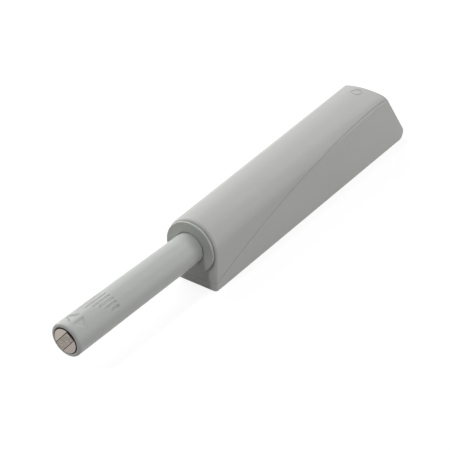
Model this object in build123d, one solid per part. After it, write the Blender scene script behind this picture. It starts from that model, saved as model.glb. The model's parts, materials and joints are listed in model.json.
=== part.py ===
from build123d import *
import math
import os

# A push to open catch: a sprung plunger with a magnet at its tip, in a barrel that a two-shell
# housing holds on a cabinet side. Millimetres. X is across, Y runs along the plunger from its tip
# to the rear, +Z is up from the screwed face. The origin is midway between the two screw holes,
# on that face. The plunger is modelled fully out.

# ---------------------------------------------------------------- driving dimensions
# Plunger
sleeve_radius = 4.0
sleeve_wall = 0.8
stroke = 39.5              # pressed right in
over_travel = 1.5          # how far it goes past the latched position
proud_length = 2.4         # what still stands out of the collar, pressed right in
tip_chamfer = 0.5
adjust_out = 4.0           # the tip screws out and in by these
adjust_in = 1.0

# Grip grooves and arrowheads on the sleeve
groove_count = 11
groove_first_angle = 36.0
groove_step = 14.7
groove_shortest = 2.2
groove_growth = 1.05
groove_end_from_tip = 13.3
groove_cutter_radius = 0.36
groove_depth = 0.22
arrow_centre_angle = 82.5
arrow_inner_angle = 7.5
arrow_outer_angle = 43.5
arrow_base = 2.85
arrow_from_tip = 3.2
arrow_depth = 0.2

# Magnet pack
pack_gap = 0.32            # radial gap to the bore, all of it on one side
pack_turn = 50.0           # angle of the magnet bar from the horizontal
pack_depth = 5.7
pack_recess = 0.15
magnet_thickness = 2.15
magnet_length = 5.0
glue_line = 0.09
plug_length = 2.4

# Barrel
stop_shoulder = 0.84       # step from the nose's bore out to the main bore
barrel_wall = 1.0
collar_rim = 0.85
collar_thickness = 0.9
collar_chamfer = 0.2
mouth_relief = 0.12        # the bore's mouth is this much wider
mouth_relief_length = 0.6
nose_length = 9.0          # guide bore behind the housing's front
window_width = 2.4
window_height = 2.0
nib_setback = 0.2

# Clearances between the pieces
running_clearance = 0.06
press_clearance = 0.02
seat_gap = 0.05
land_clearance = 0.08
key_clearance = 0.08

# Carriage
stem_clearance = 0.3
stem_wall = 0.8
stem_length = 30.3
land_length = 4.0
rear_land_length = 3.3
waist_depth = 0.9
carriage_body_length = 16.5
neck_room = 1.1            # from the rear land to the catch ring, pressed right in
neck_step = 0.3
journal_wall = 0.75
journal_tail = 1.7
web_thickness = 1.5
web_setback = 2.0
air_groove_width = 2.0
air_groove_depth = 0.5
thread_length = 14.0
thread_from_end = 2.0
thread_height = 0.12
nut_length = 6.0

# Soft stop and detent rings
stop_ring_thickness = 1.15
stop_ring_radial = 0.7
detent_thickness = 1.05
detent_gap = 0.15
key_length = 6.5
key_width = 1.6
key_height = 0.55

# Rotor, its clip and the catch ring
lug_length = 4.0
lug_half_angle = 20.0
rotor_collar = 1.0
rotor_wall = 0.38
gate_wall = 0.5
gate_clearance = 0.08
gate_half_angle = 26.0
ring_length = 4.8
ring_clearance = 0.15
seat_depth = 0.8
seat_half_width = 1.7
seat_ramp = 1.2
clip_thickness = 0.8
clip_radial = 0.85
clip_groove_depth = 0.35
clip_gap_angle = 50.0

# Ejector spring
spring_turns = 11
spring_wire_radius = 0.24
spring_clearance = 0.11

# End cap
cap_flange = 1.4
cap_floor = 1.0
cup_room = 0.55            # from the carriage to the cup's floor, pressed right in
cup_clearance = 0.15
index_gap = 0.1            # from the rotor's lugs to the index teeth, pressed right in
index_tooth_height = 0.6
index_tooth_width = 2.8
pin_clearance = 0.16
pin_lead = 0.4             # chamfer at the pin's tip
pin_room = 1.0             # from the pin's tip to the carriage's web, pressed right in

# Housing
axis_height = 10.4
wall = 1.2
cradle_clearance = 0.05
core_relief = 0.05         # the hollow's side walls stand this much further out than the barrel's
core_front_turn = 66.0     # where the hollow's flat roof starts on the barrel's circle, at the front
core_rear_drop = 0.6       # the roof's depth under the rear shoulders
core_rear_chamfer = 1.8
floor_thickness = 2.0
front_wall = 1.6
rear_wall = 1.5
cap_room = 0.9             # from the end cap to the rear wall
rear_lean = 42.0           # the rear wall leans forward by this angle from the vertical
rear_foot_round = 2.0
crown_rise = 3.85          # the crown climbs by this to the rear end of the screwed face
shoulder_drop = 1.5        # crown to shoulder, at that end
rear_corner_radius = 1.7
edge_round = 0.8           # runs in under the collar's edge
loft_steps = 5             # arcs that each of the section's three curves is drawn as
seam_gap = 0.1
ring_mark_at = 79.0        # a plain ring sunk in the crown, from the housing's front
ring_mark_radius = 1.7
ring_mark_width = 0.4
ring_mark_depth = 0.12
rib_thickness = 1.2
rib_setback = 0.5
key_rib_rise = 0.5
key_rib_width = 4.0
snap_length = 6.0
snap_thickness = 0.8
snap_reach = 1.1           # how far a snap tab stands past the parting line
snap_clearance = 0.1
snap_setback = 1.0
tongue_from_end = 3.0
screw_spacing = 64.0
screw_hole_radius = 1.9
screw_head_radius = 3.4
countersink_depth = 1.5

# Ribs, as distances from the housing's front or from the barrel's rear end: saddles carry the
# barrel, hold-downs press on it from above, and the key rib stands in its cross slot
front_saddle_at = 11.0
middle_saddle_at = 31.0
rear_saddle_from_end = 13.0
key_rib_at = 49.0
front_hold_down_at = 20.0
middle_hold_down_at = 42.0
rear_hold_down_from_end = 19.0

# Parting line on the housing's side: how far it starts above the floor and ends under the rear
# shoulders, and between them pairs of (share of the housing's length, share of the rise)
seam_over_floor = 0.1
seam_under_shoulder = 1.6
seam_shape = [(0.0, 0.0), (0.2, 0.42), (0.4, 0.72), (0.6, 0.91), (0.84, 1.0)]

# ---------------------------------------------------------------- radii, from the plunger out and in
sleeve_bore = sleeve_radius - sleeve_wall
stem_radius = sleeve_bore - stem_clearance
carriage_bore = stem_radius - stem_wall
spring_mean_radius = carriage_bore - spring_clearance - spring_wire_radius
pin_radius = spring_mean_radius - spring_wire_radius - pin_clearance
pack_radius = sleeve_bore - pack_gap

nose_bore = sleeve_radius + running_clearance
bore_radius = nose_bore + stop_shoulder
barrel_radius = bore_radius + barrel_wall
collar_radius = barrel_radius + collar_rim
land_radius = bore_radius - land_clearance
waist_radius = land_radius - waist_depth

journal_radius = carriage_bore + journal_wall
neck_radius = journal_radius + neck_step
rotor_inner = journal_radius + running_clearance
rotor_outer = rotor_inner + rotor_wall
catch_inner = rotor_outer + ring_clearance
catch_outer = bore_radius - press_clearance
gate_radius = catch_outer - gate_wall
lug_radius = gate_radius - gate_clearance
clip_inner = journal_radius - clip_groove_depth
clip_outer = clip_inner + clip_radial
cup_radius = clip_outer + cup_clearance

half_width = barrel_radius + cradle_clearance + wall
rear_crown_height = axis_height + half_width + crown_rise
rear_shoulder_height = rear_crown_height - shoulder_drop
cradle_radius = barrel_radius + cradle_clearance
seam_front_height = floor_thickness + seam_over_floor
seam_rear_height = rear_shoulder_height - seam_under_shoulder

# ---------------------------------------------------------------- lengths, from the housing's front
latch_travel = stroke - over_travel
stop_ring_at = nose_length + seat_gap
land_at = stop_ring_at + stop_ring_thickness + seat_gap
neck_at = land_at + carriage_body_length
journal_at = neck_at + over_travel + ring_length - seat_depth + neck_room
rotor_at = journal_at + seat_gap
clip_at = rotor_at + lug_length + rotor_collar + seat_gap
carriage_end_at = clip_at + clip_thickness + journal_tail
index_at = rotor_at + lug_length + stroke + index_gap
cup_floor_at = carriage_end_at + stroke + cup_room
barrel_length = cup_floor_at + cap_floor
lean_slope = math.tan(math.radians(rear_lean))
rear_wall_length = rear_wall / math.cos(math.radians(rear_lean))
housing_length = (barrel_length + cap_flange + cap_room + rear_wall_length
                  + (axis_height + barrel_radius) * lean_slope)

saddle_stations = [front_saddle_at, middle_saddle_at, key_rib_at, barrel_length - rear_saddle_from_end]
hold_down_stations = [front_hold_down_at, middle_hold_down_at, barrel_length - rear_hold_down_from_end]

# ---------------------------------------------------------------- places along Y
front_y = -housing_length / 2
rear_y = housing_length / 2
collar_face_y = front_y - collar_thickness
tip_y = collar_face_y - stroke - proud_length
nose_end_y = front_y + nose_length
stop_ring_y = front_y + stop_ring_at
land_y = front_y + land_at
neck_y = front_y + neck_at
journal_y = front_y + journal_at
rotor_y = front_y + rotor_at
clip_y = front_y + clip_at
carriage_end_y = front_y + carriage_end_at
index_y = front_y + index_at
cup_floor_y = front_y + cup_floor_at
barrel_end_y = front_y + barrel_length
stem_tip_y = land_y - stem_length
web_y = land_y - web_setback - web_thickness
spring_front_y = land_y - web_setback
pin_tip_y = spring_front_y + stroke + pin_room
detent_y = land_y - seat_gap - detent_thickness
sleeve_end_y = detent_y - adjust_in - detent_gap
catch_seat_y = rotor_y + latch_travel
catch_ring_end_y = catch_seat_y + seat_depth
catch_ring_y = catch_ring_end_y - ring_length
catch_nib_y = catch_ring_y + ring_length / 2
cap_nib_y = (index_y + index_tooth_height + barrel_end_y) / 2
key_y = front_y + key_rib_at
pack_y = tip_y + pack_recess
plug_y = pack_y + pack_depth + seat_gap
nut_y = stem_tip_y + thread_from_end + adjust_out + seat_gap

axis_line = Axis((0, 0, axis_height), (0, 1, 0))
profile_plane = Plane(origin=(0, 0, axis_height), x_dir=(1, 0, 0), z_dir=(0, 0, 1))
axis_side_plane = Plane(origin=(0, 0, axis_height), x_dir=(0, 1, 0), z_dir=(1, 0, 0))
mirror_plane = Plane(origin=(0, 0, axis_height), z_dir=(0, 0, 1))
far = housing_length       # reach of a cutter that has to clear the part
side_plane = Plane(origin=(-far, 0, 0), x_dir=(0, 1, 0), z_dir=(1, 0, 0))


# ---------------------------------------------------------------- shared shapes
def rod(radius, start, end):
    """A cylinder along the plunger's axis."""
    return Pos(0, (start + end) / 2, axis_height) * Rot(90, 0, 0) * Cylinder(radius, end - start)


def tube(outer, inner, start, end):
    return rod(outer, start, end) - rod(inner, start - 1, end + 1)


def turned(points):
    """A solid of revolution about the plunger's axis, from (radius, y) corners."""
    face = make_face(Polyline(*points, close=True))
    return revolve(profile_plane * face, axis_line, 360)


def around(angle, shape):
    """Turn a shape about the plunger's axis, from +X toward +Z."""
    return shape.rotate(axis_line, -angle)


def block(x0, x1, y0, y1, z0, z1):
    centre = Pos((x0 + x1) / 2, (y0 + y1) / 2, (z0 + z1) / 2)
    return centre * Box(abs(x1 - x0), abs(y1 - y0), abs(z1 - z0))


def slab(start, end):
    """Everything between two places along Y."""
    return block(-far, far, start, end, -far, far)


def cross_bar(start, end, height):
    """A bar across the axis, of a height that the axis halves."""
    return block(-far, far, start, end, axis_height - height / 2, axis_height + height / 2)


def sector(inner, outer, half_angle, start, end):
    """A piece of a tube centred on the +X side of the axis."""
    reach = outer * 2
    rise = reach * math.tan(math.radians(half_angle))
    wedge = make_face(Polyline((0, 0), (reach, -rise), (reach, rise), close=True))
    plane = Plane(origin=(0, start, axis_height), x_dir=(1, 0, 0), z_dir=(0, -1, 0))
    return tube(outer, inner, start, end) & extrude(plane * wedge, start - end)


# ---------------------------------------------------------------- housing envelope
def arc_chain(centre, radius, start, end):
    """Equal arcs end to end, from one angle to another."""
    def at(step):
        angle = math.radians(start + (end - start) * step / loft_steps)
        return (centre[0] + radius * math.cos(angle), centre[1] + radius * math.sin(angle))

    return [ThreePointArc(at(step), at(step + 0.5), at(step + 1)) for step in range(loft_steps)]


def closed_section(y, outline, side_top):
    """A face across the housing: an open outline closed by two flat sides and the flat bottom."""
    width = side_top[0]
    sides = [
        Line((-width, 0), (width, 0)),
        Line((width, 0), side_top),
        Line((-width, side_top[1]), (-width, 0)),
    ]
    plane = Plane(origin=(0, y, 0), x_dir=(1, 0, 0), z_dir=(0, -1, 0))
    return plane * make_face(sides + outline)


def round_section(y, corner_centre, corner, arch_centre, arch, split):
    """Flat sides, two corners and an arch over them, which starts at split degrees."""
    cx, cz = corner_centre
    outline = (
        arc_chain((cx, cz), corner, 0, split)
        + arc_chain((0, arch_centre), arch, split, 180 - split)
        + arc_chain((-cx, cz), corner, 180 - split, 180)
    )
    return closed_section(y, outline, (cx + corner, cz))


def envelope(inset):
    """The housing's lofted form: a round-topped front that fills out to an arched rear.

    The arch and the corners at the rear start at the same angle as at the front, so that straight
    lines along the loft join points that face the same way.
    """
    arch = (half_width ** 2 + shoulder_drop ** 2) / (2 * shoulder_drop)
    arch_centre = rear_crown_height - arch
    cx = half_width - rear_corner_radius
    cz = arch_centre + math.sqrt((arch - rear_corner_radius) ** 2 - cx ** 2)
    split = math.degrees(math.atan2(cz - arch_centre, cx))
    nose = half_width - inset
    front = round_section(front_y, (0, axis_height), nose, axis_height, nose, split)
    rear = round_section(rear_y, (cx, cz), rear_corner_radius - inset, arch_centre, arch - inset, split)
    return loft([front, rear], ruled=True) - behind_rear_wall(inset)


def behind_rear_wall(inset):
    """Everything behind the leaning rear wall, moved forward by inset."""
    foot = rear_y - inset / math.cos(math.radians(rear_lean))
    low = (foot + far * lean_slope, -far)
    high = (foot - far * lean_slope, far)
    corner_points = [low, (far * 3, -far), (far * 3, far), high]
    return extrude(side_plane * make_face(Polyline(*corner_points, close=True)), far * 2)


def rounded_envelope():
    body = envelope(0)
    foot = body.edges().filter_by(Axis.X).group_by(Axis.Y)[-1]
    body = fillet(foot, rear_foot_round)
    front = body.faces().sort_by(Axis.Y)[0]
    return fillet(front.edges().sort_by(Axis.Z)[1:], edge_round)


def core(inset):
    """The moulded hollow inside both shells: flat sides and roof, joined by slanted faces."""
    width = half_width - wall + core_relief - inset
    turn = math.radians(core_front_turn)
    front_roof_x = cradle_radius * math.cos(turn) - inset
    front_roof_z = axis_height + cradle_radius * math.sin(turn) - inset
    rear_roof_z = rear_shoulder_height - core_rear_drop - inset
    rear_roof = (width - core_rear_chamfer, rear_roof_z)
    sections = []
    for y, side_z, roof in (
        (front_y, axis_height, (front_roof_x, front_roof_z)),
        (rear_y, rear_roof_z - core_rear_chamfer, rear_roof),
    ):
        outline = Polyline((width, side_z), roof, (-roof[0], roof[1]), (-width, side_z))
        sections.append(closed_section(y, outline.edges(), (width, side_z)))
    return loft(sections, ruled=True) - behind_rear_wall(rear_wall + inset)


def cavity():
    """The hollow with the barrel's tunnel through its front part."""
    tunnel = barrel_space(0) - behind_rear_wall(rear_wall)
    hollow = (core(0) + tunnel) - slab(front_y - far, front_y + front_wall)
    return hollow - block(-far, far, -far, far, -far, floor_thickness)


# ---------------------------------------------------------------- parting of the two shells
def seam_curve(shift):
    rise = seam_rear_height - seam_front_height
    points = [
        (front_y + share * housing_length, seam_front_height + rise_share * rise + shift)
        for share, rise_share in seam_shape
    ]
    return Spline(*points)


def below_seam(shift):
    """Everything under the parting line, raised by shift."""
    curve = seam_curve(shift)
    start, end = curve @ 0, curve @ 1
    front, rear = front_y - 5, rear_y + 5
    edges = [
        curve,
        Line(end, (rear, end.Y)),
        Line((rear, end.Y), (rear, -5)),
        Line((rear, -5), (front, -5)),
        Line((front, -5), (front, start.Y)),
        Line((front, start.Y), start),
    ]
    return extrude(side_plane * make_face(edges), far * 2)


# ---------------------------------------------------------------- housing shells
def ribs(stations, hollow):
    """Slabs across the hollow, scooped out for the barrel."""
    half = rib_thickness / 2
    slabs = [slab(front_y + station - half, front_y + station + half) for station in stations]
    return (Compound(slabs) & hollow) - barrel_space(0)


def barrel_space(room):
    """The space that the barrel takes, with its clearance and any more room asked for."""
    return rod(cradle_radius + room, front_y - far, rear_y + far)


def snap_lip(start, end):
    """A thin band just inside the hollow's walls."""
    band = core(snap_clearance) - core(snap_clearance + snap_thickness)
    return (band & slab(start, end)) - barrel_space(snap_clearance)


def snap_tabs():
    """Tabs that stand on the floor and reach up inside the upper shell."""
    start = front_y + front_wall + snap_setback
    tabs = snap_lip(start, start + snap_length) & below_seam(snap_reach)
    return tabs - block(-far, far, -far, far, -far, floor_thickness / 2)


def snap_tongue(hollow):
    """A thicker band across the upper shell that reaches down inside the base's walls."""
    end = front_y + barrel_length - tongue_from_end
    start = end - snap_length
    root = (hollow & slab(start, end)) - core(snap_clearance + snap_thickness) - barrel_space(snap_clearance)
    return (snap_lip(start, end) - below_seam(-snap_reach)) + (root - below_seam(snap_clearance))


def key_rib():
    """A rib on the floor that stands in the barrel's cross slot and stops it turning or sliding."""
    half = rib_thickness / 2
    width = key_rib_width / 2
    top = axis_height - barrel_radius + key_rib_rise
    return block(-width, width, key_y - half, key_y + half, floor_thickness / 2, top)


def screw_hole(y):
    """A countersunk hole through the floor."""
    sink = Cone(screw_hole_radius, screw_head_radius, countersink_depth)
    hole = Pos(0, y, 0) * Cylinder(screw_hole_radius, floor_thickness * 3)
    return hole + Pos(0, y, floor_thickness - countersink_depth / 2) * sink


def housing_base(shell, hollow):
    base = shell & below_seam(-seam_gap / 2)
    saddles = ribs(saddle_stations, hollow) & below_seam(-rib_setback)
    base = base + saddles + key_rib() + snap_tabs()
    return base - screw_hole(-screw_spacing / 2) - screw_hole(screw_spacing / 2)


def ring_mark():
    """A ring that stands through the crown; only its outermost layer is cut away."""
    ring = Cylinder(ring_mark_radius, far * 2) - Cylinder(ring_mark_radius - ring_mark_width, far * 2)
    return Pos(0, front_y + ring_mark_at, 0) * ring


def housing_top(shell, hollow):
    top = shell - below_seam(seam_gap / 2) - (ring_mark() - envelope(ring_mark_depth))
    hold_downs = ribs(hold_down_stations, hollow) - below_seam(rib_setback)
    return top + hold_downs + snap_tongue(hollow)


# ---------------------------------------------------------------- barrel and its fixed pieces
def windows(y):
    """Two windows through the barrel's sides, for the nibs of a piece inside it."""
    return cross_bar(y - window_width / 2, y + window_width / 2, window_height)


def nibs(y):
    """Nibs that stand in the barrel's windows, just short of its outer face."""
    half = window_width / 2 - key_clearance
    bar = cross_bar(y - half, y + half, window_height - key_clearance * 2)
    return bar & tube(barrel_radius - nib_setback, bore_radius - gate_wall, y - half - 1, y + half + 1)


def barrel():
    mouth_radius = nose_bore + mouth_relief
    mouth_end_y = collar_face_y + mouth_relief_length
    body = turned([
        (nose_bore, mouth_end_y), (mouth_radius, mouth_end_y), (mouth_radius, collar_face_y),
        (collar_radius, collar_face_y), (collar_radius, front_y), (barrel_radius, front_y),
        (barrel_radius, barrel_end_y), (bore_radius, barrel_end_y), (bore_radius, nose_end_y),
        (nose_bore, nose_end_y),
    ])
    rim = body.edges().filter_by(GeomType.CIRCLE).group_by(Axis.Y)[0].sort_by(SortBy.RADIUS)[-1]
    body = chamfer(rim, collar_chamfer)
    body = body - windows(catch_nib_y) - windows(cap_nib_y)
    slot_half = rib_thickness / 2 + key_clearance
    slot_top = axis_height - barrel_radius + key_rib_rise + key_clearance
    return body - block(-far, far, key_y - slot_half, key_y + slot_half, 0, slot_top)


def end_cap():
    """A plug with a cup for the carriage's end, index teeth round it and the spring's guide pin."""
    plug_radius = bore_radius - press_clearance
    cap = turned([
        (0, cup_floor_y), (cup_radius, cup_floor_y), (cup_radius, index_y),
        (plug_radius, index_y), (plug_radius, barrel_end_y), (barrel_radius, barrel_end_y),
        (barrel_radius, barrel_end_y + cap_flange), (0, barrel_end_y + cap_flange),
    ])
    gap = make_face(Polyline(
        (index_y - 1, -index_tooth_width / 2), (index_y, -index_tooth_width / 2),
        (index_y + index_tooth_height, index_tooth_width / 2), (index_y - 1, index_tooth_width / 2),
        close=True,
    ))
    cutter = extrude(axis_side_plane * gap, plug_radius + 1) - rod(cup_radius, index_y - 2, cup_floor_y)
    for quarter in range(4):
        cap = cap - around(90 * quarter + 45, cutter)
    pin = turned([
        (0, pin_tip_y), (pin_radius - pin_lead, pin_tip_y), (pin_radius, pin_tip_y + pin_lead),
        (pin_radius, barrel_end_y), (0, barrel_end_y),
    ])
    return cap + pin + nibs(cap_nib_y)


def catch_ring():
    """Two gates let the rotor's lugs through, and two seats behind the ring hold them."""
    ring = tube(catch_outer, catch_inner, catch_ring_y, catch_ring_end_y)
    gate = sector(catch_inner / 2, gate_radius, gate_half_angle, catch_ring_y - 1, catch_ring_end_y + 1)
    ring = ring - around(90, gate) - around(270, gate)
    ramp_end = seat_half_width + seat_ramp
    seat = make_face(Polyline(
        (catch_ring_end_y, -ramp_end), (catch_seat_y, -seat_half_width),
        (catch_seat_y, seat_half_width), (catch_ring_end_y, ramp_end),
        (catch_ring_end_y + 1, ramp_end), (catch_ring_end_y + 1, -ramp_end), close=True,
    ))
    ring = ring - extrude(axis_side_plane * seat, far, both=True)
    return ring + nibs(catch_nib_y)


def stop_ring():
    outer = bore_radius - seat_gap
    return tube(outer, outer - stop_ring_radial, stop_ring_y, stop_ring_y + stop_ring_thickness)


# ---------------------------------------------------------------- carriage and its pieces
def carriage():
    thread_radius = stem_radius - thread_height
    thread_start = stem_tip_y + thread_from_end
    rear_land_y = neck_y - rear_land_length
    clip_end_y = clip_y + clip_thickness
    body = turned([
        (0, stem_tip_y), (stem_radius, stem_tip_y), (stem_radius, thread_start),
        (thread_radius, thread_start), (thread_radius, thread_start + thread_length),
        (stem_radius, thread_start + thread_length), (stem_radius, land_y), (land_radius, land_y),
        (land_radius, land_y + land_length), (waist_radius, land_y + land_length),
        (waist_radius, rear_land_y), (land_radius, rear_land_y), (land_radius, neck_y),
        (neck_radius, neck_y), (neck_radius, journal_y), (journal_radius, journal_y),
        (journal_radius, clip_y), (clip_inner, clip_y), (clip_inner, clip_end_y),
        (journal_radius, clip_end_y), (journal_radius, carriage_end_y), (0, carriage_end_y),
    ])
    body = body - rod(carriage_bore, spring_front_y, carriage_end_y + 1)
    body = body - rod(carriage_bore, stem_tip_y - 1, web_y)
    half = air_groove_width / 2
    groove = block(
        land_radius - air_groove_depth, land_radius + 1, land_y - 1, neck_y + 1,
        axis_height - half, axis_height + half,
    )
    for quarter in range(4):
        body = body - around(90 * quarter + 45, groove)
    return body


def detent_ring():
    """A ring behind the sleeve, with two keys that slide in the sleeve's keyways."""
    inner = stem_radius + running_clearance
    ring = tube(sleeve_radius - seat_gap, inner, detent_y, detent_y + detent_thickness)
    start = detent_y - key_length
    keys = cross_bar(start, detent_y + detent_thickness / 2, key_width - key_clearance * 2)
    return ring + (keys & tube(stem_radius + key_height, inner, start - 1, detent_y + detent_thickness))


def index_rotor():
    body = tube(rotor_outer, rotor_inner, rotor_y, rotor_y + lug_length + rotor_collar)
    lug = sector(rotor_inner, lug_radius, lug_half_angle, rotor_y, rotor_y + lug_length)
    return body + around(90, lug) + around(270, lug)


def rotor_clip():
    start = clip_y + press_clearance
    end = clip_y + clip_thickness - press_clearance
    clip = tube(clip_outer, clip_inner + press_clearance, start, end)
    return clip - around(270, sector(clip_inner / 2, clip_outer + 1, clip_gap_angle / 2, start - 1, end + 1))


def ejector_spring():
    start = spring_front_y + spring_wire_radius + seat_gap
    length = cup_floor_y - spring_wire_radius - seat_gap - start
    helix = Helix(length / spring_turns, length, spring_mean_radius)
    wire = Plane(origin=helix @ 0, z_dir=helix % 0) * RegularPolygon(spring_wire_radius, 4)
    coil = sweep(wire, helix, is_frenet=True)
    return Pos(0, start, axis_height) * Rot(-90, 0, 0) * coil


# ---------------------------------------------------------------- plunger
def grip_groove(number):
    """One groove of the grip: they lengthen one by one to the middle and shorten again."""
    middle = groove_count // 2
    length = groove_shortest + groove_growth * (middle - abs(number - middle))
    end = tip_y + groove_end_from_tip
    cutter = rod(groove_cutter_radius, end - length, end)
    place = Pos(sleeve_radius + groove_cutter_radius - groove_depth, 0, 0)
    return around(groove_first_angle + groove_step * number, place * cutter)


def arrowhead():
    """A shallow sunk triangle that points round the plunger."""
    middle = tip_y + arrow_from_tip
    base = sleeve_radius * math.sin(math.radians(arrow_inner_angle))
    apex = sleeve_radius * math.sin(math.radians(arrow_outer_angle))
    half = arrow_base / 2
    triangle = make_face(Polyline((middle - half, base), (middle + half, base), (middle, apex), close=True))
    prism = extrude(axis_side_plane * triangle, sleeve_radius + 1)
    return prism - rod(sleeve_radius - arrow_depth, tip_y, sleeve_end_y)


def plunger_sleeve():
    body = tube(sleeve_radius, sleeve_bore, tip_y, sleeve_end_y)
    rim = body.edges().filter_by(GeomType.CIRCLE).group_by(Axis.Y)[0].sort_by(SortBy.RADIUS)[-1]
    body = chamfer(rim, tip_chamfer)
    body = body - [grip_groove(number) for number in range(groove_count)]
    body = body - around(arrow_centre_angle, arrowhead())
    body = body - around(arrow_centre_angle, arrowhead().mirror(mirror_plane))
    start = detent_y - key_length - adjust_in - detent_gap
    keyways = cross_bar(start, sleeve_end_y + 1, key_width)
    depth = stem_radius + key_height + key_clearance
    return body - (keyways & rod(depth, start - 1, sleeve_end_y + 1))


def pack_place():
    """The pack leans against the bore, opposite to the gap beside it."""
    lean = math.radians(pack_turn)
    shift = pack_gap - seat_gap
    return Pos(-shift * math.cos(lean), 0, -shift * math.sin(lean))


def magnet():
    half_length = magnet_length / 2
    bar = block(-half_length, half_length, pack_y, pack_y + pack_depth, 0, magnet_thickness)
    return pack_place() * around(pack_turn, Pos(0, 0, axis_height - magnet_thickness / 2) * bar)


def pole_plate():
    """The plate above the magnet: what the round pack leaves beside the bar."""
    start = axis_height + magnet_thickness / 2 + glue_line
    above = block(-far, far, pack_y, pack_y + pack_depth, start, far)
    return rod(pack_radius, pack_y, pack_y + pack_depth) & above


def magnet_plug():
    return rod(sleeve_bore - press_clearance, plug_y, plug_y + plug_length)


def thread_nut():
    outer = sleeve_bore - press_clearance
    return tube(outer, stem_radius + running_clearance, nut_y, nut_y + nut_length)


# ---------------------------------------------------------------- write the parts
def build_parts():
    hollow = cavity()
    opening = rod(cradle_radius, front_y - 1, front_y + front_wall + 1)
    shell = rounded_envelope() - hollow - opening
    plate = pole_plate()
    return {
        "housing_base": housing_base(shell, hollow),
        "housing_top": housing_top(shell, hollow),
        "barrel": barrel(),
        "end_cap": end_cap(),
        "catch_ring": catch_ring(),
        "stop_ring": stop_ring(),
        "carriage": carriage(),
        "detent_ring": detent_ring(),
        "index_rotor": index_rotor(),
        "rotor_clip": rotor_clip(),
        "ejector_spring": ejector_spring(),
        "plunger_sleeve": plunger_sleeve(),
        "magnet": magnet(),
        "pole_plate_upper": pack_place() * around(pack_turn, plate),
        "pole_plate_lower": pack_place() * around(pack_turn, plate.mirror(mirror_plane)),
        "magnet_plug": magnet_plug(),
        "thread_nut": thread_nut(),
    }


os.makedirs("parts", exist_ok=True)
for name, shape in build_parts().items():
    export_step(shape, f"parts/{name}.step")
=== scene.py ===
import json
import math

import bmesh
import bpy
from mathutils import Matrix, Quaternion, Vector

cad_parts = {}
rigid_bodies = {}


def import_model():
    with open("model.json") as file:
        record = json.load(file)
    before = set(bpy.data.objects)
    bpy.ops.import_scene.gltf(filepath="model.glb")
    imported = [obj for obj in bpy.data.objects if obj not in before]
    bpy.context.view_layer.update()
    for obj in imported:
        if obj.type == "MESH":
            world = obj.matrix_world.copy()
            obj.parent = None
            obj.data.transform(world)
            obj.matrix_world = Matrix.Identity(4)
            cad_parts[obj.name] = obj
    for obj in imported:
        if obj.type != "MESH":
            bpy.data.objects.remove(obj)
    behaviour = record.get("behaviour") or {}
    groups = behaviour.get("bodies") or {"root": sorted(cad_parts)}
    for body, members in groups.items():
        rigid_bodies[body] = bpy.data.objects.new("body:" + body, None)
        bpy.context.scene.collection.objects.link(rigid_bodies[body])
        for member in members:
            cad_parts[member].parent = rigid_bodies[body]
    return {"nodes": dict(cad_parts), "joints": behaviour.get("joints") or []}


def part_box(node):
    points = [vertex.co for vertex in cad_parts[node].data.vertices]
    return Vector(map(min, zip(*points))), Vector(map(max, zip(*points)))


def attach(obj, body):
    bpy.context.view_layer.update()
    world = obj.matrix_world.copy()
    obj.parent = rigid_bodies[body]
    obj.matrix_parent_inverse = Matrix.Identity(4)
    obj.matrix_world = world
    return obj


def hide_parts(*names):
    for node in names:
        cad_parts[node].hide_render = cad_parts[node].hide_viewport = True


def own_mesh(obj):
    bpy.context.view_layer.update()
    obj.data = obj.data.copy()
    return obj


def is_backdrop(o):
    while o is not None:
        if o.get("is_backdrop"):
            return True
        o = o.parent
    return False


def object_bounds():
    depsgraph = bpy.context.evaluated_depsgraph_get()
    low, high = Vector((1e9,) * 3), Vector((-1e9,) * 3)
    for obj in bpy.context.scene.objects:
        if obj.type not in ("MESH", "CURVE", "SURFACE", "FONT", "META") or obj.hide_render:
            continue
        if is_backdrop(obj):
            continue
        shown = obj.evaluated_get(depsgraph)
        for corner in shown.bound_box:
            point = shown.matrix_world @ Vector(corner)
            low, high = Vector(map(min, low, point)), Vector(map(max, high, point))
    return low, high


bl_info = {
    "name": "Push to open catch",
    "version": (1, 0, 0),
    "blender": (4, 5, 0),
    "location": "3D View > Sidebar > Catch",
    "description": "Dresses a push to open catch: its housing, plunger, magnet and mechanism",
    "category": "Add Mesh",
}

for thing in list(bpy.data.objects):
    bpy.data.objects.remove(thing)

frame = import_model()
JOINTS = {joint["name"]: joint for joint in frame["joints"]}
AXIS_Z = JOINTS["tip_twist"]["pos_m"][2]
MM = 0.001

# Shapes: faces that meet at more than this angle keep a crisp edge between them.
SHARP_ANGLE = math.radians(50)
SAME_PLACE = 0.001 * MM
PLANE_TOLERANCE = 1e-8
ROUND_STEPS = 128
GRIP_STEPS = 256
ROD_STEPS = 96
COIL_STEPS = 20

# Materials, in millimetres where they are sizes.
DRIFT_SIZE = 18
PLASTIC_SHEEN = 0.06
METAL_SHEEN = 0.1
LINE_STRETCH = 0.06
PLASTIC_IOR = 1.5

# Stage: the paper's own grey, the glow that makes it look white, and the room's faint light.
PAPER_GREY = (0.24, 0.26)
PAPER_GLOW = 0.852
FIBRE_SIZE = 4
ROOM_LIGHT = 0.11
FLOOR_HALF = 3
FLOOR_GAP = 0.02 * MM
CAMERA_PLACE = (0.11411, -0.19773, 0.13374)
CAMERA_AZIMUTH, CAMERA_ELEVATION, CAMERA_ROLL = map(math.radians, (35.349, 32.265, -0.145))
SENSOR_WIDTH, LENS = 36, 75.9


# ---------------------------------------------------------------- colours
def linear(code):
    """An sRGB hex colour as the linear values that the shaders take."""
    values = [int(code[at:at + 2], 16) / 255 for at in (0, 2, 4)]
    return [v / 12.92 if v <= 0.04045 else ((v + 0.055) / 1.055) ** 2.4 for v in values]


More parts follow.
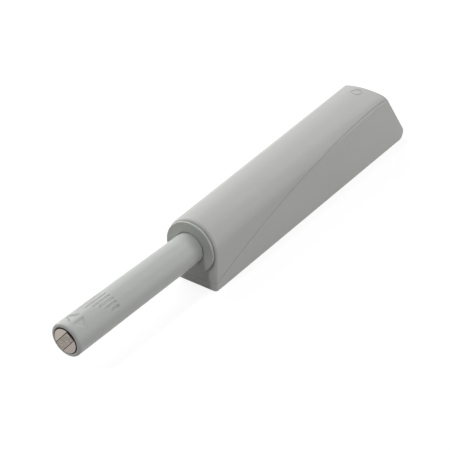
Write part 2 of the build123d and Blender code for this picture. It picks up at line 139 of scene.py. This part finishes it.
# ---------------------------------------------------------------- settings
def length_setting(name, description, millimetres, least=0):
    return bpy.props.FloatProperty(
        name=name, description=description, default=millimetres * MM, min=least * MM, unit="LENGTH")


def angle_setting(name, description, degrees):
    return bpy.props.FloatProperty(
        name=name, description=description, default=math.radians(degrees), subtype="ANGLE")


def colour_setting(name, description, code):
    return bpy.props.FloatVectorProperty(
        name=name, description=description, subtype="COLOR", size=3, min=0, max=1,
        default=linear(code))


class CatchSizes(bpy.types.PropertyGroup):
    """Sizes of the details that dress the catch."""

    tip_round: length_setting("Tip rounding", "Radius of the plunger's outer edge at its tip", 0.55)
    collar_round: length_setting("Collar rounding", "Radius of the collar's outer edge", 0.18)
    bore_round: length_setting("Bore rounding", "Radius where a bore opens at the front", 0.02)
    undercut_width: length_setting(
        "Undercut width", "Width of the groove between the collar and the housing", 0.32)
    undercut_depth: length_setting("Undercut depth", "Depth of that groove", 0.45)
    mouth_relief: length_setting(
        "Mouth relief", "How much wider the barrel's bore is at its mouth", 0.12)
    mouth_length: length_setting("Mouth length", "Length of the wider mouth", 0.6)
    guide_bore: length_setting("Guide bore", "Radius of the bore that guides the plunger", 4.06)
    guide_length: length_setting("Guide length", "Length of that bore behind the collar", 9.0)
    barrel_bore: length_setting("Barrel bore", "Radius of the barrel's main bore", 4.9)
    barrel_radius: length_setting("Barrel radius", "Outer radius of the barrel", 5.9)
    window_width: length_setting("Window width", "Length of the barrel's windows along it", 2.4)
    window_height: length_setting("Window height", "Height of the barrel's windows", 2.0)
    rear_window: length_setting(
        "Rear windows", "Distance from the barrel's rear end to the middle of its last windows",
        2.2)
    slot_width: length_setting(
        "Slot width", "Width of the slot across the barrel's underside", 1.36)
    slot_depth: length_setting("Slot depth", "Depth of that slot", 0.58)
    slot_place: length_setting(
        "Slot place", "Distance from the collar's back to the slot's middle", 49.0)
    sleeve_bore: length_setting("Sleeve bore", "Radius of the plunger sleeve's bore", 3.2)
    keyway_width: length_setting(
        "Keyway width", "Width of the two keyways in the sleeve's rear end", 1.6)
    keyway_radius: length_setting(
        "Keyway radius", "How far out from the axis the keyways reach", 3.53)
    keyway_length: length_setting("Keyway length", "Length of the keyways", 6.5)
    groove_count: bpy.props.IntProperty(
        name="Grip grooves", description="How many grooves the grip has", default=11, min=3)
    groove_first: angle_setting(
        "First groove", "Angle of the first grip groove from the catch's right side", 36)
    groove_step: angle_setting("Groove step", "Angle from one grip groove to the next", 14.7)
    groove_shortest: length_setting("Shortest groove", "Length of the outermost grip grooves", 2.2)
    groove_growth: length_setting(
        "Groove growth", "How much longer each groove toward the middle is", 1.05)
    groove_end: length_setting(
        "Groove end", "Distance from the tip to the grooves' rear ends", 13.3)
    groove_width: length_setting(
        "Groove width", "Width of a grip groove halfway down its sides", 0.6)
    groove_depth: length_setting("Groove depth", "Depth of the outermost grip grooves", 0.36)
    middle_groove_depth: length_setting(
        "Middle groove depth", "Depth of the middle grip groove", 0.13)
    arrow_turn: angle_setting("Arrow turn", "Angle midway between the two arrowheads", 82.5)
    arrow_inner: angle_setting("Arrow base angle", "Angle from there to an arrowhead's base", 7.5)
    arrow_outer: angle_setting(
        "Arrow point angle", "Angle from there to an arrowhead's point", 43.5)
    arrow_base: length_setting("Arrow base", "Width of an arrowhead's base", 2.85)
    arrow_place: length_setting(
        "Arrow place", "Distance from the tip to the middle of the arrowheads", 3.2)
    arrow_depth: length_setting("Arrow depth", "Depth of an arrowhead", 0.34)
    relief_slope: length_setting(
        "Relief slope", "Width of the soft slope along the rim of a groove or an arrowhead", 0.38,
        least=0.01)
    grip_grain: length_setting(
        "Grip detail", "Distance between the rings of points that carry the grip's relief", 0.1,
        least=0.02)
    pack_round: length_setting(
        "Magnet edge", "Rounding of the magnet's and the pole plates' edges", 0.02)
    magnet_thickness: length_setting("Magnet thickness", "Thickness of the magnet bar", 2.15)
    magnet_end: length_setting(
        "Magnet end", "Distance from the magnet's middle to its flat end", 2.5)
    magnet_play: length_setting(
        "Magnet play", "Gap between the magnet's round end and the sleeve's bore", 0.015)
    magnet_turn: angle_setting("Magnet turn", "Angle of the magnet bar from the horizontal", 50)
    pack_sunk: length_setting(
        "Pack recess", "How far the magnet and its pole plates lie behind the tip", 0.04)
    pack_radius: length_setting("Pack radius", "Radius of the magnet with its pole plates", 2.915)
    glue_line: length_setting("Glue line", "Gap between the magnet and a pole plate", 0.12)
    wire_radius: length_setting("Spring wire", "Radius of the ejector spring's wire", 0.24)
    spring_turns: bpy.props.IntProperty(
        name="Spring turns", description="Turns of the ejector spring", default=44, min=1)


class CatchColours(bpy.types.PropertyGroup):
    """Colours of the catch's finishes."""

    housing: colour_setting("Housing", "Moulded ABS of the two shells", "BFC0BD")
    barrel: colour_setting("Barrel", "Moulded acetal of the barrel", "B3B5B0")
    plunger: colour_setting("Plunger", "Moulded acetal of the plunger sleeve", "BEC0BD")
    inner: colour_setting("Inner pieces", "Natural acetal of the moving pieces inside", "DEDCD4")
    upper_plate: colour_setting(
        "Upper pole plate", "Plated steel of the upper pole plate", "ACA49B")
    lower_plate: colour_setting(
        "Lower pole plate", "Plated steel of the lower pole plate", "A09691")
    magnet: colour_setting("Magnet", "Dull nickel of the magnet", "8F8980")


# ---------------------------------------------------------------- materials
def add(tree, kind, inputs=None, **settings):
    """Adds a node, gives it its settings, and sets or links its inputs."""
    node = tree.nodes.new(kind)
    for name, value in settings.items():
        setattr(node, name, value)
    for name, value in (inputs or {}).items():
        if isinstance(value, bpy.types.NodeSocket):
            tree.links.new(value, node.inputs[name])
        else:
            node.inputs[name].default_value = value
    return node


def new_material(name):
    """An empty material with its node tree and the output."""
    material = bpy.data.materials.new(name)
    material.use_nodes = True
    tree = material.node_tree
    tree.nodes.clear()
    return material, tree, tree.nodes.new("ShaderNodeOutputMaterial")


def per_metre(millimetres):
    """The pattern scale that gives features of this size."""
    return 1 / (millimetres * MM)


def shade(colour, factor):
    return [min(1, channel * factor) for channel in colour] + [1]


def moulded(name, colour, roughness, grain, depth, spread):
    """Moulded plastic: a colour that drifts a little over the part, and the mould's fine grain."""
    material, tree, output = new_material(name)
    place = add(tree, "ShaderNodeTexCoord").outputs["Object"]
    drift = add(tree, "ShaderNodeTexNoise", {
        "Vector": place, "Scale": per_metre(DRIFT_SIZE), "Detail": 3})
    tint = add(tree, "ShaderNodeMix", {
        "Factor": drift.outputs["Fac"], 6: shade(colour, 1 - spread), 7: shade(colour, 1 + spread)},
        data_type="RGBA")
    # Spark-eroded grain is about 0.1 mm, too fine to show at the camera's distance, so it is
    # drawn coarser.
    pits = add(tree, "ShaderNodeTexNoise", {
        "Vector": place, "Scale": per_metre(grain), "Detail": 4, "Roughness": 0.6})
    sheen = add(tree, "ShaderNodeMapRange", {
        "Value": pits.outputs["Fac"], "To Min": roughness - PLASTIC_SHEEN,
        "To Max": roughness + PLASTIC_SHEEN})
    bump = add(tree, "ShaderNodeBump", {
        "Height": pits.outputs["Fac"], "Strength": 1.0, "Distance": depth * MM})
    shader = add(tree, "ShaderNodeBsdfPrincipled", {
        "Base Color": tint.outputs[2], "Roughness": sheen.outputs["Result"],
        "Normal": bump.outputs["Normal"], "IOR": PLASTIC_IOR})
    tree.links.new(shader.outputs[0], output.inputs["Surface"])
    return material


def worked_metal(name, colour, roughness, line, along, depth, spread, cloud_size=1.5):
    """Metal with fine lines of its working along one axis, and faint clouds of tarnish."""
    material, tree, output = new_material(name)
    place = add(tree, "ShaderNodeTexCoord").outputs["Object"]
    stretch = [1, 1, 1]
    stretch["XYZ".index(along)] = LINE_STRETCH
    lines_at = add(tree, "ShaderNodeMapping", {"Vector": place, "Scale": stretch})
    lines = add(tree, "ShaderNodeTexNoise", {
        "Vector": lines_at.outputs["Vector"], "Scale": per_metre(line), "Detail": 3})
    cloud = add(tree, "ShaderNodeTexNoise", {
        "Vector": place, "Scale": per_metre(cloud_size), "Detail": 2})
    tint = add(tree, "ShaderNodeMix", {
        "Factor": cloud.outputs["Fac"], 6: shade(colour, 1 - spread), 7: shade(colour, 1 + spread)},
        data_type="RGBA")
    polish = add(tree, "ShaderNodeMapRange", {
        "Value": lines.outputs["Fac"], "To Min": roughness - METAL_SHEEN,
        "To Max": roughness + METAL_SHEEN})
    bump = add(tree, "ShaderNodeBump", {
        "Height": lines.outputs["Fac"], "Strength": 1.0, "Distance": depth * MM})
    shader = add(tree, "ShaderNodeBsdfPrincipled", {
        "Base Color": tint.outputs[2], "Metallic": 1.0, "Roughness": polish.outputs["Result"],
        "Normal": bump.outputs["Normal"]})
    tree.links.new(shader.outputs[0], output.inputs["Surface"])
    return material


def lit_by_eye(tree):
    """1 for what the camera or a mirror sees, and 0 for light that falls on the object."""
    path = add(tree, "ShaderNodeLightPath")
    mirror = add(tree, "ShaderNodeMath", {
        0: path.outputs["Is Camera Ray"], 1: path.outputs["Is Glossy Ray"]}, operation="MAXIMUM")
    seen = add(tree, "ShaderNodeMath", {
        0: mirror.outputs[0], 1: path.outputs["Is Transmission Ray"]}, operation="MAXIMUM")
    return seen.outputs[0]


def paper_floor():
    """White paper: it looks white, keeps a soft shadow, and throws only a little light back."""
    material, tree, output = new_material("white_paper")
    place = add(tree, "ShaderNodeTexCoord").outputs["Object"]
    fibre = add(tree, "ShaderNodeTexNoise", {
        "Vector": place, "Scale": per_metre(FIBRE_SIZE), "Detail": 2})
    grey = add(tree, "ShaderNodeMapRange", {
        "Value": fibre.outputs["Fac"], "To Min": PAPER_GREY[0], "To Max": PAPER_GREY[1]})
    paper = add(tree, "ShaderNodeBsdfDiffuse", {"Color": grey.outputs["Result"]})
    seen = add(tree, "ShaderNodeMath", {
        0: lit_by_eye(tree), 1: PAPER_GLOW}, operation="MULTIPLY")
    glow = add(tree, "ShaderNodeEmission", {"Color": (1, 1, 1, 1), "Strength": seen.outputs[0]})
    both = add(tree, "ShaderNodeAddShader", {0: paper.outputs[0], 1: glow.outputs[0]})
    tree.links.new(both.outputs[0], output.inputs["Surface"])
    return material


# ---------------------------------------------------------------- shapes
def spun(outline, steps=ROUND_STEPS, cuts=0):
    """A mesh from a closed outline of a few (radius, y) corners, spun about the plunger's axis.

    Cuts more points along the outline's first side give that side its rings.
    """
    bm = bmesh.new()
    corners = [bm.verts.new((radius, y, AXIS_Z)) for radius, y in outline]
    sides = [bm.edges.new(pair) for pair in zip(corners, corners[1:] + corners[:1])]
    if cuts:
        bmesh.ops.subdivide_edges(bm, edges=sides[:1], cuts=cuts)
    bmesh.ops.spin(
        bm, geom=bm.verts[:] + bm.edges[:], cent=(0, 0, AXIS_Z), axis=(0, 1, 0),
        dvec=(0, 0, 0), angle=math.tau, steps=steps, use_merge=True)
    bmesh.ops.recalc_face_normals(bm, faces=bm.faces[:])
    return bm


def ring_edges(bm, radius, y):
    """The circle of edges at this radius and place along Y."""
    def there(vert):
        reach = math.hypot(vert.co.x, vert.co.z - AXIS_Z)
        return abs(reach - radius) < SAME_PLACE and abs(vert.co.y - y) < SAME_PLACE

    return [edge for edge in bm.edges if all(there(vert) for vert in edge.verts)]


def soften(bm, edges, offset, segments=4):
    bmesh.ops.bevel(
        bm, geom=edges, offset=offset, offset_type="OFFSET", segments=segments, profile=0.5,
        affect="EDGES", material=-1, clamp_overlap=True)


def rod_mesh(bm, radius, start, end, centre=(0, AXIS_Z), segments=ROD_STEPS):
    """Adds a closed cylinder that runs along Y, and returns its vertices."""
    place = Matrix.Translation((centre[0], (start + end) / 2, centre[1]))
    turn = place @ Matrix.Rotation(math.pi / 2, 4, "X")
    made = bmesh.ops.create_cone(
        bm, cap_ends=True, segments=segments, radius1=radius, radius2=radius, depth=end - start,
        matrix=turn)
    return made["verts"]


def box_mesh(bm, low, high):
    """Adds a box between two corners, and returns its vertices."""
    low, high = Vector(low), Vector(high)
    place = Matrix.Translation((low + high) / 2) @ Matrix.Diagonal((*(high - low), 1))
    return bmesh.ops.create_cube(bm, size=1, matrix=place)["verts"]


def turn_about_axis(bm, verts, angle, centre=(0, AXIS_Z)):
    """Turns vertices about a line along Y, from +X toward +Z."""
    bmesh.ops.rotate(
        bm, verts=verts, cent=(centre[0], 0, centre[1]), matrix=Matrix.Rotation(-angle, 3, "Y"))


def cut_off(bm, place, facing):
    """Cuts a closed mesh with a plane, throws away the side that the plane faces, and closes it."""
    made = bmesh.ops.bisect_plane(
        bm, geom=bm.verts[:] + bm.edges[:] + bm.faces[:], dist=PLANE_TOLERANCE, plane_co=place,
        plane_no=facing, clear_outer=True)
    rim = [item for item in made["geom_cut"] if isinstance(item, bmesh.types.BMEdge)]
    bmesh.ops.contextual_create(bm, geom=rim)


def crisp_edges(bm):
    """The edges where two faces meet at a clear angle."""
    return [edge for edge in bm.edges if edge.calc_face_angle(0) > SHARP_ANGLE]


def relief(sizes, radius, angle, from_tip):
    """How deep the grip is sunk at an angle round the plunger and a distance from its tip."""
    half = sizes.groove_width / 2
    rear = sizes.groove_end - half
    middle = sizes.groove_count // 2
    number = round((angle - sizes.groove_first) / sizes.groove_step)
    number = min(max(number, 0), sizes.groove_count - 1)
    aside = abs(number - middle)
    length = sizes.groove_shortest + sizes.groove_growth * (middle - aside)
    deeper = (sizes.groove_depth - sizes.middle_groove_depth) * aside / middle
    front = sizes.groove_end - length + half
    beside = radius * (angle - sizes.groove_first - sizes.groove_step * number)
    groove = half - math.hypot(beside, max(front - from_tip, from_tip - rear, 0))

    half = sizes.arrow_base / 2
    base, point = radius * math.sin(sizes.arrow_inner), radius * math.sin(sizes.arrow_outer)
    rise = radius * math.sin(min(abs(angle - sizes.arrow_turn), math.pi / 2))
    slant = half * (point - rise) / (point - base) - abs(from_tip - sizes.arrow_place)
    arrow = min(rise - base, slant * (point - base) / math.hypot(half, point - base))

    sunk = 0
    for inside, depth in ((groove, sizes.middle_groove_depth + deeper), (arrow, sizes.arrow_depth)):
        share = min(max(inside / sizes.relief_slope + 0.5, 0), 1)
        sunk = max(sunk, depth * share * share * (3 - 2 * share))
    return sunk


def as_object(bm, name):
    mesh = bpy.data.meshes.new(name)
    bm.to_mesh(mesh)
    bm.free()
    piece = bpy.data.objects.new(name, mesh)
    bpy.context.scene.collection.objects.link(piece)
    return piece


def cut(bm, cutters):
    """The first mesh with the second one taken away."""
    body, tool = as_object(bm, "body"), as_object(cutters, "tool")
    modifier = body.modifiers.new("Cut", "BOOLEAN")
    modifier.operation, modifier.solver, modifier.object = "DIFFERENCE", "EXACT", tool
    seen = body.evaluated_get(bpy.context.evaluated_depsgraph_get())
    result = bmesh.new()
    result.from_mesh(seen.to_mesh())
    seen.to_mesh_clear()
    # Where a cutter's edge almost meets an edge of the body, the two corners become one.
    bmesh.ops.remove_doubles(result, verts=result.verts[:], dist=SAME_PLACE)
    for used in (body, tool):
        mesh = used.data
        bpy.data.objects.remove(used)
        bpy.data.meshes.remove(mesh)
    return result


def finished(bm, name, material, body, slot, *stands_for):
    """Makes a mesh a piece that rides on a body and stands for its solids."""
    piece = as_object(bm, name)
    piece.data.materials.append(material)
    piece.data.shade_smooth()
    piece.data.set_sharp_from_angle(angle=SHARP_ANGLE)
    even = piece.modifiers.new("Even shading", "WEIGHTED_NORMAL")
    even.keep_sharp = True
    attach(piece, body)
    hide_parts(*stands_for)
    return piece


def paint(material, *nodes):
    """Gives solids that keep their shape a finish."""
    for node in nodes:
        frame["nodes"][node].material_slots[0].material = material


# ---------------------------------------------------------------- pieces
class CATCH_OT_housing(bpy.types.Operator):
    """Finishes the two moulded shells of the housing"""

    bl_idname = "catch.housing"
    bl_label = "Housing shells"

    def execute(self, context):
        # Spark-eroded light grey ABS: matt, with a soft broad shine on the crown.
        colour = context.scene.catch_colours.housing
        abs_grey = moulded("moulded_abs_grey", colour, 0.52, 0.5, 0.012, 0.02)
        paint(abs_grey, "housing_base", "housing_top")
        return {"FINISHED"}


class CATCH_OT_barrel(bpy.types.Operator):
    """Makes the barrel with its collar at the housing's front"""

    bl_idname = "catch.barrel"
    bl_label = "Barrel and collar"

    def execute(self, context):
        sizes = context.scene.catch_sizes
        # Acetal moulded in a smooth tool: a little glossier and cooler than the shells.
        colour = context.scene.catch_colours.barrel
        acetal = moulded("moulded_acetal_grey", colour, 0.42, 0.6, 0.006, 0.015)
        low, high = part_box("barrel")
        rim, face, end = high.x, low.y, high.y
        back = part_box("housing_base")[0].y
        mouth = sizes.guide_bore + sizes.mouth_relief
        neck, neck_start = rim - sizes.undercut_depth, back - sizes.undercut_width
        bm = spun([
            (sizes.guide_bore, face + sizes.mouth_length), (mouth, face + sizes.mouth_length),
            (mouth, face),
            (rim, face), (rim, neck_start), (neck, neck_start), (neck, back),
            (sizes.barrel_radius, back), (sizes.barrel_radius, end), (sizes.barrel_bore, end),
            (sizes.barrel_bore, back + sizes.guide_length),
            (sizes.guide_bore, back + sizes.guide_length),
        ])
        soften(bm, ring_edges(bm, rim, face), sizes.collar_round)
        soften(bm, ring_edges(bm, mouth, face), sizes.bore_round)
        cutters = bmesh.new()
        across, half_width, half_height = rim * 2, sizes.window_width / 2, sizes.window_height / 2
        catch_low, catch_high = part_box("catch_ring")
        for middle in ((catch_low.y + catch_high.y) / 2, end - sizes.rear_window):
            box_mesh(
                cutters, (-across, middle - half_width, AXIS_Z - half_height),
                (across, middle + half_width, AXIS_Z + half_height))
        middle, bottom = back + sizes.slot_place, AXIS_Z - sizes.barrel_radius
        box_mesh(
            cutters, (-across, middle - sizes.slot_width / 2, bottom - rim),
            (across, middle + sizes.slot_width / 2, bottom + sizes.slot_depth))
        finished(cut(bm, cutters), "barrel_moulding", acetal, "housing", "barrel_plastic", "barrel")
        return {"FINISHED"}


class CATCH_OT_plunger(bpy.types.Operator):
    """Makes the plunger sleeve with its grip grooves and arrowheads"""

    bl_idname = "catch.plunger"
    bl_label = "Plunger sleeve"

    def execute(self, context):
        sizes = context.scene.catch_sizes
        # Acetal moulded in a smooth tool, a cooler grey than the housing.
        colour = context.scene.catch_colours.plunger
        acetal = moulded("moulded_acetal_cool_grey", colour, 0.42, 0.6, 0.006, 0.015)
        low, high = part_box("plunger_sleeve")
        radius, tip, end = high.x, low.y, high.y
        grip_start = tip + sizes.tip_round * 1.5
        grip_end = tip + sizes.groove_end + sizes.groove_width
        bm = spun([
            (radius, grip_start), (radius, grip_end), (radius, end), (sizes.sleeve_bore, end),
            (sizes.sleeve_bore, tip), (radius, tip),
        ], GRIP_STEPS, round((grip_end - grip_start) / sizes.grip_grain))
        soften(bm, ring_edges(bm, radius, tip), sizes.tip_round, 6)
        soften(bm, ring_edges(bm, sizes.sleeve_bore, tip), sizes.bore_round)
        for vert in bm.verts:
            reach = math.hypot(vert.co.x, vert.co.z - AXIS_Z)
            if grip_start <= vert.co.y <= grip_end and reach > sizes.sleeve_bore + sizes.bore_round:
                angle = math.atan2(vert.co.z - AXIS_Z, vert.co.x)
                share = 1 - relief(sizes, radius, angle, vert.co.y - tip) / reach
                vert.co.x, vert.co.z = vert.co.x * share, AXIS_Z + (vert.co.z - AXIS_Z) * share
        keyways = bmesh.new()
        rod_mesh(keyways, sizes.keyway_radius, end - sizes.keyway_length, end + sizes.keyway_length)
        for side in (-1, 1):
            cut_off(keyways, (0, 0, AXIS_Z + side * sizes.keyway_width / 2), (0, 0, side))
        finished(
            cut(bm, keyways), "plunger_sleeve_moulding", acetal, "plunger", "plunger_plastic",
            "plunger_sleeve")
        return {"FINISHED"}


class CATCH_OT_magnet_pack(bpy.types.Operator):
    """Makes the magnet and its two pole plates in the plunger's tip"""

    bl_idname = "catch.magnet_pack"
    bl_label = "Magnet and pole plates"

    def execute(self, context):
        sizes, colours = context.scene.catch_sizes, context.scene.catch_colours
        low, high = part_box("magnet")
        centre = ((low.x + high.x) / 2, (low.z + high.z) / 2)
        # Nickel-plated sintered magnet: dull and dark beside the plates.
        nickel = worked_metal("dull_nickel", colours.magnet, 0.42, 0.2, "Y", 0.006, 0.8, 0.35)
        half = sizes.magnet_thickness / 2
        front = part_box("plunger_sleeve")[0].y + sizes.pack_sunk
        across = Vector((-math.sin(sizes.magnet_turn), 0, math.cos(sizes.magnet_turn)))
        along = Vector((math.cos(sizes.magnet_turn), 0, math.sin(sizes.magnet_turn)))
        middle = Vector((centre[0], 0, centre[1]))
        bm = bmesh.new()
        rod_mesh(bm, sizes.sleeve_bore - sizes.magnet_play, front, high.y)
        for facing, reach in ((across, half), (-across, half), (along, sizes.magnet_end)):
            cut_off(bm, middle + facing * reach, facing)
        soften(bm, crisp_edges(bm), sizes.pack_round, 3)
        finished(bm, "magnet_bar", nickel, "plunger", "magnet_nickel", "magnet")
        for node, half_turn, finish, colour in (
                ("pole_plate_upper", 0, "plated_steel", colours.upper_plate),
                ("pole_plate_lower", math.pi, "tarnished_plated_steel", colours.lower_plate)):
            # Zinc-plated mild steel, ground flat: warm and satin. The lower plate is a little
            # darker.
            steel = worked_metal(finish, colour, 0.34, 0.15, "X", 0.003, 0.06)
            bm = bmesh.new()
            rod_mesh(bm, sizes.pack_radius, front, high.y, centre)
            cut_off(bm, (0, 0, centre[1] + half + sizes.glue_line), (0, 0, -1))
            soften(bm, crisp_edges(bm), sizes.pack_round, 3)
            turn_about_axis(bm, bm.verts[:], sizes.magnet_turn + half_turn, centre)
            finished(bm, node + "_ground", steel, "plunger", "pole_steel", node)
        return {"FINISHED"}


class CATCH_OT_mechanism(bpy.types.Operator):
    """Finishes the carriage, the rotary catch and their small pieces"""

    bl_idname = "catch.mechanism"
    bl_label = "Mechanism inside the barrel"

    def execute(self, context):
        colours = context.scene.catch_colours
        # Natural acetal from a polished tool: white, faintly waxy.
        natural = moulded("natural_acetal", colours.inner, 0.36, 0.6, 0.004, 0.015)
        paint(
            natural, "carriage", "catch_ring", "end_cap", "index_rotor", "detent_ring",
            "magnet_plug")
        # Black nitrile rubber: flat and slightly mottled.
        rubber = moulded("nitrile_rubber", linear("26272A"), 0.8, 0.3, 0.01, 0.1)
        paint(rubber, "stop_ring")
        # Turned brass with fine rings of the tool.
        brass = worked_metal("turned_brass", linear("C9A86A"), 0.3, 0.1, "X", 0.003, 0.05)
        paint(brass, "thread_nut")
        # Phosphated spring strip: grey and satin.
        strip = worked_metal("spring_strip", linear("8C8C8E"), 0.36, 0.12, "X", 0.003, 0.05)
        paint(strip, "rotor_clip")
        return {"FINISHED"}


class CATCH_OT_spring(bpy.types.Operator):
    """Makes the ejector spring"""

    bl_idname = "catch.ejector_spring"
    bl_label = "Ejector spring"

    def execute(self, context):
        sizes = context.scene.catch_sizes
        low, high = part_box("ejector_spring")
        radius = high.x - sizes.wire_radius
        start = low.y + sizes.wire_radius
        length = high.y - low.y - sizes.wire_radius * 2
        steps = sizes.spring_turns * COIL_STEPS
        bm = bmesh.new()
        facing = Matrix.Translation((radius, start, AXIS_Z))
        bmesh.ops.create_circle(bm, segments=8, radius=sizes.wire_radius, matrix=facing)
        bmesh.ops.spin(
            bm, geom=bm.verts[:] + bm.edges[:], cent=(0, 0, AXIS_Z), axis=(0, -1, 0),
            dvec=(0, length / steps, 0), angle=math.tau * sizes.spring_turns, steps=steps)
        bmesh.ops.holes_fill(bm, edges=[edge for edge in bm.edges if edge.is_boundary], sides=8)
        bmesh.ops.recalc_face_normals(bm, faces=bm.faces[:])
        # Drawn, oil-tempered wire: grey with fine lines along it.
        wire = worked_metal("drawn_spring_wire", linear("A3A4A6"), 0.3, 0.08, "Y", 0.002, 0.05)
        spring = finished(
            bm, "ejector_spring_wire", wire, "housing", "spring_steel", "ejector_spring")
        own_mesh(spring)
        return {"FINISHED"}


# ---------------------------------------------------------------- stage
# Soft round lamps: name, place from the object's middle in metres, width in metres, and watts.
LAMPS = (
    ("key_light", (-0.38, 0.13, 0.47), 0.35, 1.4),
    ("left_light", (-0.6, 0.0, 0.15), 0.3, 1.91),
    ("right_light", (0.58, 0.0, 0.16), 0.3, 0.83),
    ("front_top_light", (-0.06, -0.42, 0.42), 0.06, 0.82),
    ("front_left_light", (-0.45, -0.4, 0.16), 0.55, 0.25),
    ("rear_top_light", (0.1, 0.42, 0.42), 0.35, 0.62),
    ("rear_right_light", (0.45, 0.4, 0.15), 0.3, 0.62),
)


def soft_lamp(name, place, aim, size, watts):
    lamp = bpy.data.lights.new(name, "AREA")
    lamp.shape, lamp.size, lamp.energy = "DISK", size, watts
    piece = bpy.data.objects.new(name, lamp)
    bpy.context.scene.collection.objects.link(piece)
    piece.location = place
    piece.rotation_mode = "QUATERNION"
    piece.rotation_quaternion = (Vector(aim) - Vector(place)).to_track_quat("-Z", "Y")


class CATCH_OT_stage(bpy.types.Operator):
    """Sets up the white floor, the studio light and the camera"""

    bl_idname = "catch.stage"
    bl_label = "Floor, light and camera"

    def execute(self, context):
        scene = context.scene
        scene.view_settings.view_transform = "Standard"
        low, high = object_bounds()
        centre = (low + high) / 2

        bm = bmesh.new()
        bmesh.ops.create_grid(
            bm, x_segments=1, y_segments=1, size=FLOOR_HALF,
            matrix=Matrix.Translation((0, 0, low.z - FLOOR_GAP)))
        floor = as_object(bm, "floor")
        floor.data.materials.append(paper_floor())
        floor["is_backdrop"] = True

        world = bpy.data.worlds.new("studio")
        scene.world = world
        world.use_nodes = True
        tree = world.node_tree
        tree.nodes.clear()
        level = add(tree, "ShaderNodeMapRange", {
            "Value": lit_by_eye(tree), "To Min": ROOM_LIGHT, "To Max": 1.0})
        sky = add(tree, "ShaderNodeBackground", {
            "Color": (1, 1, 1, 1), "Strength": level.outputs["Result"]})
        output = tree.nodes.new("ShaderNodeOutputWorld")
        tree.links.new(sky.outputs[0], output.inputs["Surface"])

        for name, beside, size, watts in LAMPS:
            soft_lamp(name, centre + Vector(beside), centre, size, watts)

        camera = bpy.data.objects.new("camera", bpy.data.cameras.new("camera"))
        scene.collection.objects.link(camera)
        camera.data.sensor_width, camera.data.lens = SENSOR_WIDTH, LENS
        camera.data.clip_start, camera.data.clip_end = 0.01, 20
        across = math.cos(CAMERA_ELEVATION)
        back = Vector((
            math.sin(CAMERA_AZIMUTH) * across, -math.cos(CAMERA_AZIMUTH) * across,
            math.sin(CAMERA_ELEVATION)))
        camera.location = CAMERA_PLACE
        camera.rotation_mode = "QUATERNION"
        aim = (-back).to_track_quat("-Z", "Y")
        camera.rotation_quaternion = aim @ Quaternion((0, 0, 1), CAMERA_ROLL)
        scene.camera = camera
        return {"FINISHED"}


# ---------------------------------------------------------------- panel and running order
OPERATORS = (
    CATCH_OT_housing, CATCH_OT_barrel, CATCH_OT_plunger, CATCH_OT_magnet_pack, CATCH_OT_mechanism,
    CATCH_OT_spring, CATCH_OT_stage,
)


class CATCH_PT_panel(bpy.types.Panel):
    """Lists the catch's pieces and their settings"""

    bl_idname = "CATCH_PT_panel"
    bl_label = "Push to open catch"
    bl_space_type = "VIEW_3D"
    bl_region_type = "UI"
    bl_category = "Catch"

    def draw(self, context):
        for operator in OPERATORS:
            self.layout.operator(operator.bl_idname)
        for settings in (context.scene.catch_sizes, context.scene.catch_colours):
            box = self.layout.box()
            for name in settings.bl_rna.properties.keys():
                if name not in ("rna_type", "name"):
                    box.prop(settings, name)


CLASSES = (CatchSizes, CatchColours, *OPERATORS, CATCH_PT_panel)


def register():
    for item in CLASSES:
        bpy.utils.register_class(item)
    bpy.types.Scene.catch_sizes = bpy.props.PointerProperty(type=CatchSizes)
    bpy.types.Scene.catch_colours = bpy.props.PointerProperty(type=CatchColours)


def unregister():
    del bpy.types.Scene.catch_colours
    del bpy.types.Scene.catch_sizes
    for item in reversed(CLASSES):
        bpy.utils.unregister_class(item)


def main():
    register()
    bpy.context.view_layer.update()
    for operator in OPERATORS:
        group, name = operator.bl_idname.split(".")
        getattr(getattr(bpy.ops, group), name)()


if __name__ == "__main__":
    main()
